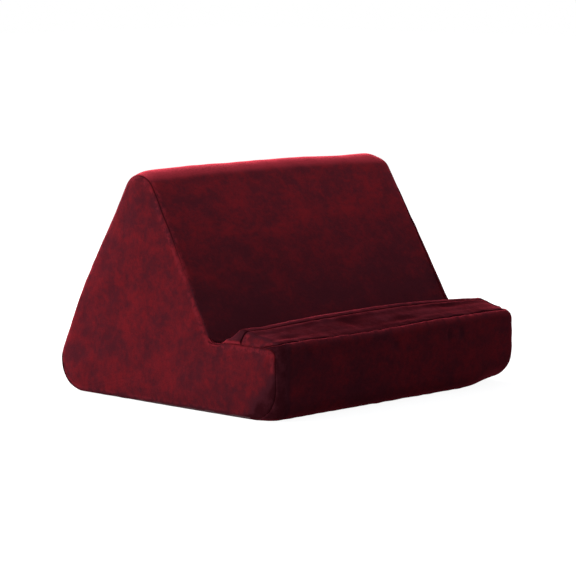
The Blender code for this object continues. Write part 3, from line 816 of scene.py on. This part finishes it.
# The cover. Puckers: size of the gathers along the left, right, first and last seam of each cloth.
PUCKERS = {
    "rear_lower": (0.0002, 0.0002, 0.0002, 0.0001),
    "backrest": (0.0002, 0.0002, 0.0001, 0.0003),
    "ledge_inner": (0.0003, 0.0003, 0.0003, 0.0004),
    "ledge_top": (0.0004, 0.0004, 0.0005, 0.0006),
    "ledge_front": (0.0004, 0.0004, 0.0005, 0.0003),
    "base": (0.0002, 0.0002, 0.0002, 0.0002),
}
STANDS_FOR = {"rear_lower": "rear_lower_panel", "base": "base_panel", "backrest": "backrest_panel"}
CREASES = {"ledge_inner": crest_crease, "ledge_top": ledge_creases, "ledge_front": rim_crease}
stitch_lines = {}
for order, (name, (grid, swell)) in enumerate(cover_cloths().items()):
    outer, inner, seam = sew(grid, swell, PUCKERS[name], 100 * order + 7, CREASES.get(name))
    if name in ("rear_lower", "backrest"):
        stitch_lines[name] = line_at(outer[:, ::-1] if name == "rear_lower" else outer, STITCH_INSET)
    cloth = "base_cloth" if name == "base" else "velvet"
    material = {"base": BASE_CLOTH, "ledge_top": VELVET_PRESSED}.get(name, VELVET)
    piece = add_cloth("cover_" + name, outer, inner, seam, material)
    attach(piece, "stand")
    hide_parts(STANDS_FOR.get(name, name + "_panel"))
for side, name in ((-1, "left"), (1, "right")):
    piece = add_disc("cover_end_" + name, *end_panel(side), VELVET)
    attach(piece, "stand")
    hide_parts("end_panel_" + name)


def mesh_points(mesh):
    """Places of a mesh's vertices."""
    points = np.empty(len(mesh.vertices) * 3, np.float32)
    mesh.vertices.foreach_get("co", points)
    return points.reshape(-1, 3).astype(float)


# The foam.
CORE_SCALE = (0.952, 1, 1)
CORE_END_DROP = 0.0065
CORE_INSET = 0.0026


def add_core(name, node):
    """Foam block: the model's own, merged, settled as the cover is, drawn in from it, and lower at its ends
    where the cover dips."""
    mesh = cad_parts[node].data.copy()
    mesh.name = name
    form = bmesh.new()
    form.from_mesh(mesh)
    bmesh.ops.remove_doubles(form, verts=form.verts, dist=1e-6)
    form.to_mesh(mesh)
    form.free()
    normals = np.empty(len(mesh.vertices) * 3, np.float32)
    mesh.vertices.foreach_get("normal", normals)
    points = settled(mesh_points(mesh) * CORE_SCALE) - normals.reshape(-1, 3) * CORE_INSET
    x, y, z = points.T
    near_end = smooth((np.abs(x) - 0.120) / 0.010) * smooth((y + 0.082) / 0.012) * smooth((z - 0.025) / 0.015)
    points[:, 2] -= CORE_END_DROP * near_end
    mesh.vertices.foreach_set("co", points.astype(np.float32).ravel())
    mesh.update()
    mesh.materials.clear()
    mesh.materials.append(FOAM)
    piece = bpy.data.objects.new(name, mesh)
    bpy.context.scene.collection.objects.link(piece)
    return piece


for name, node in (("core_wedge", "foam_wedge"), ("core_ledge", "foam_ledge")):
    piece = add_core(name, node)
    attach(piece, "stand")
    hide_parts(node)

# The zip, in its own frame: x along it towards the closed end, y up the rear face and z out of it.
ZIP_SIN, ZIP_COS = 0.877983, 0.478691
ZIP_FRAME = np.array([[-1, 0, 0], [0, -ZIP_COS, ZIP_SIN], [0, ZIP_SIN, ZIP_COS]])
ZIP_ORIGIN = np.array([0, 0.120802, 0.057646])


def from_zip(p):
    """Points of the zip's frame in the model's."""
    return ZIP_ORIGIN + p @ ZIP_FRAME


def add_bar(name, x, outline, material):
    """Solid of an outline (rows of y, z, one for each x) carried along x, closed by a fan at each end."""
    rows, columns = outline.shape[:2]
    points = np.concatenate([np.broadcast_to(x[:, None, None], (rows, columns, 1)), outline], axis=-1)
    points = np.concatenate([points.reshape(-1, 3), points[[0, -1]].mean(axis=1)])
    return fill_mesh(name, from_zip(points), capped_faces(rows, columns), material)


def add_tape(name, side):
    """Zip tape: a thin woven strip with a rounded edge, that dips and rises a little along its length."""
    rows, columns, level = 161, 15, -0.00262
    x = np.linspace(-TAPE_END, TAPE_END, rows)
    y = np.broadcast_to(np.linspace(0.0006, 0.0122, columns), (rows, columns))
    thick = 0.00028 + 0.00007 * np.sin(np.pi * np.linspace(0, 1, columns))
    sag = 0.00012 * waves(np.stack([x, x * 0, x * 0], axis=-1), 0.03, 5 + side, 8)[:, None]
    top = np.stack([y, level + thick + sag], axis=-1)
    under = np.stack([y, level - thick + sag], axis=-1)
    outline = np.concatenate([top, under[:, ::-1]], axis=1)
    if side < 0:
        outline = outline[:, ::-1] * (-1, 1)
    return add_bar(name, x, outline[:, ::-1], TAPE)


def rings_round(way, across, sides):
    """Unit circles square to a thread's way, each from its direction across the thread."""
    third = np.cross(way, across)
    turn = 2 * np.pi * np.arange(sides) / sides
    return across[..., None, :] * np.cos(turn)[:, None] + third[..., None, :] * np.sin(turn)[:, None]


def add_coil(name, side):
    """Zip coil: a nylon thread wound in an oval helix along the tape, half a turn out of step with the
    other side's, so that their turns meet in the middle."""
    turns, steps, sides = 140, 12, 6
    t = np.linspace(0, turns, turns * steps + 1)
    angle = 2 * np.pi * t + (np.pi if side < 0 else 0)
    x = (t / turns - 0.5) * 2 * COIL_END
    y, z = side * (0.00128 - 0.00105 * np.cos(angle)), -0.00172 + 0.00052 * np.sin(angle)
    centre = np.stack([x, y, z], axis=-1)
    way = unit(np.gradient(centre, axis=0))
    points = centre[:, None] + COIL_RADIUS * rings_round(way, unit(np.cross(way, (1.0, 0, 0))), sides)
    points = np.concatenate([points.reshape(-1, 3), centre[[0, -1]]])
    return fill_mesh(name, from_zip(points), capped_faces(len(t), sides), COIL)


def add_topstitch(name, line):
    """Row of stitches along a line in the rear face: short threads whose middles arch, by a half sine, out
    of the cloth that their ends dip into."""
    count, steps, sides, pitch, length = 61, 7, 6, 0.0036, 0.0028
    t = np.linspace(0, 1, steps)
    x = (np.arange(count) - (count - 1) / 2)[:, None] * pitch + length * (t - 0.5)
    normal = ZIP_FRAME[2]
    y, z = (np.interp(x, line[:, 0], line[:, k]) for k in (1, 2))
    centre = np.stack([x, y, z], axis=-1)
    centre = centre + normal * (0.00032 * np.sin(np.pi * t) - 0.00014)[:, None]
    way = unit(np.gradient(centre, axis=1))
    ring = rings_round(way, unit(normal - (way @ normal)[..., None] * way), sides)
    radius = STITCH_RADIUS * np.sqrt(1.02 - (2 * t - 1) ** 6)
    tube = (centre[:, :, None] + radius[:, None, None] * ring).reshape(count, -1, 3)
    points = np.concatenate([tube, centre[:, [0, -1]]], axis=1)
    faces = capped_faces(steps, sides)[None] + (np.arange(count) * points.shape[1])[:, None, None]
    return fill_mesh(name, points.reshape(-1, 3), faces.reshape(-1, 4), THREAD)


for name, line in stitch_lines.items():
    piece = add_topstitch("topstitch_" + name, line)
    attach(piece, "stand")
    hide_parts(STANDS_FOR[name])
for side, name in ((1, "upper"), (-1, "lower")):
    for piece in (add_tape(f"zip_tape_{name}", side), add_coil(f"zip_coil_{name}", side)):
        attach(piece, "stand")
        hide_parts("zip_stringer_" + name)
for name in ("zip_stop_closed_end", "zip_stop_open_end", "zip_slider", "zip_pull"):
    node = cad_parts[name]
    node.data.materials.clear()
    node.data.materials.append(NICKEL)
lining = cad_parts["groove_lining"]
lining.data.materials.clear()
lining.data.materials.append(LINING)


# The studio.
FLOOR_SIZE = 14.0
FLOOR_HEIGHT = -0.0002
FLOOR_GLOW = 0.93
SKY_STRENGTH = 0.40
SKY_TINT = (0.95, 1.0, 1.12, 1)


def add_plane(name, size, z, material):
    """Level square, centred on the origin at a height."""
    mesh = bpy.data.meshes.new(name)
    half = size / 2
    corners = [(-half, -half, z), (half, -half, z), (half, half, z), (-half, half, z)]
    mesh.from_pydata(corners, [], [(0, 1, 2, 3)])
    mesh.materials.append(material)
    piece = bpy.data.objects.new(name, mesh)
    bpy.context.scene.collection.objects.link(piece)
    return piece


def paper_floor():
    """Pale floor that keeps the stand's shadow, and glows to white where the camera or a gloss sees it."""
    finish = Finish("pale_floor")
    path = finish.tree.nodes.new("ShaderNodeLightPath")
    seen = Socket(finish, path.outputs["Is Camera Ray"]) + Socket(finish, path.outputs["Is Glossy Ray"])
    grain = finish.noise(40, 2.0, 0.5)
    colour = finish.mix((0.20, 0.20, 0.20, 1), (0.22, 0.22, 0.22, 1), grain)
    plain = finish.node("ShaderNodeBsdfDiffuse", None, {"Color": colour})
    glow = finish.node("ShaderNodeEmission", None, {"Color": (1, 1, 1, 1), "Strength": seen * FLOOR_GLOW})
    return finish.done(finish.node("ShaderNodeAddShader", None, {0: plain, 1: glow}))


def add_sky():
    """Sky that lights the stand softly and a little coolly, and is plain white to the camera and a gloss."""
    world = bpy.data.worlds.new("studio")
    bpy.context.scene.world = world
    world.use_nodes = True
    tree = world.node_tree
    tree.nodes.clear()
    path = tree.nodes.new("ShaderNodeLightPath")
    seen = tree.nodes.new("ShaderNodeMath")
    seen.operation = "MAXIMUM"
    tree.links.new(path.outputs["Is Camera Ray"], seen.inputs[0])
    tree.links.new(path.outputs["Is Glossy Ray"], seen.inputs[1])
    strength = tree.nodes.new("ShaderNodeMapRange")
    strength.inputs["To Min"].default_value = SKY_STRENGTH
    strength.inputs["To Max"].default_value = 1.0
    tint = tree.nodes.new("ShaderNodeMix")
    tint.data_type = "RGBA"
    tint.inputs[6].default_value = SKY_TINT
    tint.inputs[7].default_value = (1, 1, 1, 1)
    sky = tree.nodes.new("ShaderNodeBackground")
    tree.links.new(seen.outputs[0], strength.inputs["Value"])
    tree.links.new(seen.outputs[0], tint.inputs[0])
    tree.links.new(tint.outputs[2], sky.inputs["Color"])
    tree.links.new(strength.outputs[0], sky.inputs["Strength"])
    tree.links.new(sky.outputs[0], tree.nodes.new("ShaderNodeOutputWorld").inputs["Surface"])


def add_lamp(name, place, target, size, power, spread=180):
    """Soft lamp of a width and a height at a place, turned to its target, its light held within a spread."""
    light = bpy.data.lights.new(name, "AREA")
    light.shape, light.energy, light.spread = "RECTANGLE", power, math.radians(spread)
    light.size, light.size_y = size
    lamp = bpy.data.objects.new(name, light)
    bpy.context.scene.collection.objects.link(lamp)
    lamp.location = place
    lamp.rotation_euler = (Vector(target) - Vector(place)).to_track_quat("-Z", "Y").to_euler()


floor = add_plane("floor", FLOOR_SIZE, FLOOR_HEIGHT, paper_floor())
add_sky()
add_lamp("key_left", (-2.02, 0.72, 0.42), (0, 0, 0.08), (1.0, 1.0), 35.5)
add_lamp("top_front", (0.02, -0.07, 0.37), (0.02, 0.05, 0.15), (0.55, 0.10), 0.20, 110)
add_lamp("back_rim", (0.10, 1.10, 0.66), (0, 0, 0.12), (0.7, 0.7), 40.0)
add_lamp("fill_right", (2.05, 0.80, 0.24), (0, 0, 0.08), (1.0, 1.0), 18.0)

# The photograph's view.
AZIMUTH, ELEVATION = math.radians(-46.19), math.radians(7.154)
EYE = (-1.7465, -1.6720, 0.3890)
LENS, SENSOR = 175.0, 36.0
camera = bpy.data.cameras.new("camera")
camera.lens, camera.sensor_width = LENS, SENSOR
camera.clip_end = 50.0
eye = bpy.data.objects.new("camera", camera)
bpy.context.scene.collection.objects.link(eye)
level = math.cos(ELEVATION)
back = Vector((math.sin(AZIMUTH) * level, -math.cos(AZIMUTH) * level, math.sin(ELEVATION)))
right = Vector((math.cos(AZIMUTH), math.sin(AZIMUTH), 0))
place = Matrix((right, back.cross(right), back)).transposed().to_4x4()
place.translation = Vector(EYE)
eye.matrix_world = place
bpy.context.scene.camera = eye

bpy.context.scene.view_settings.view_transform = "Standard"
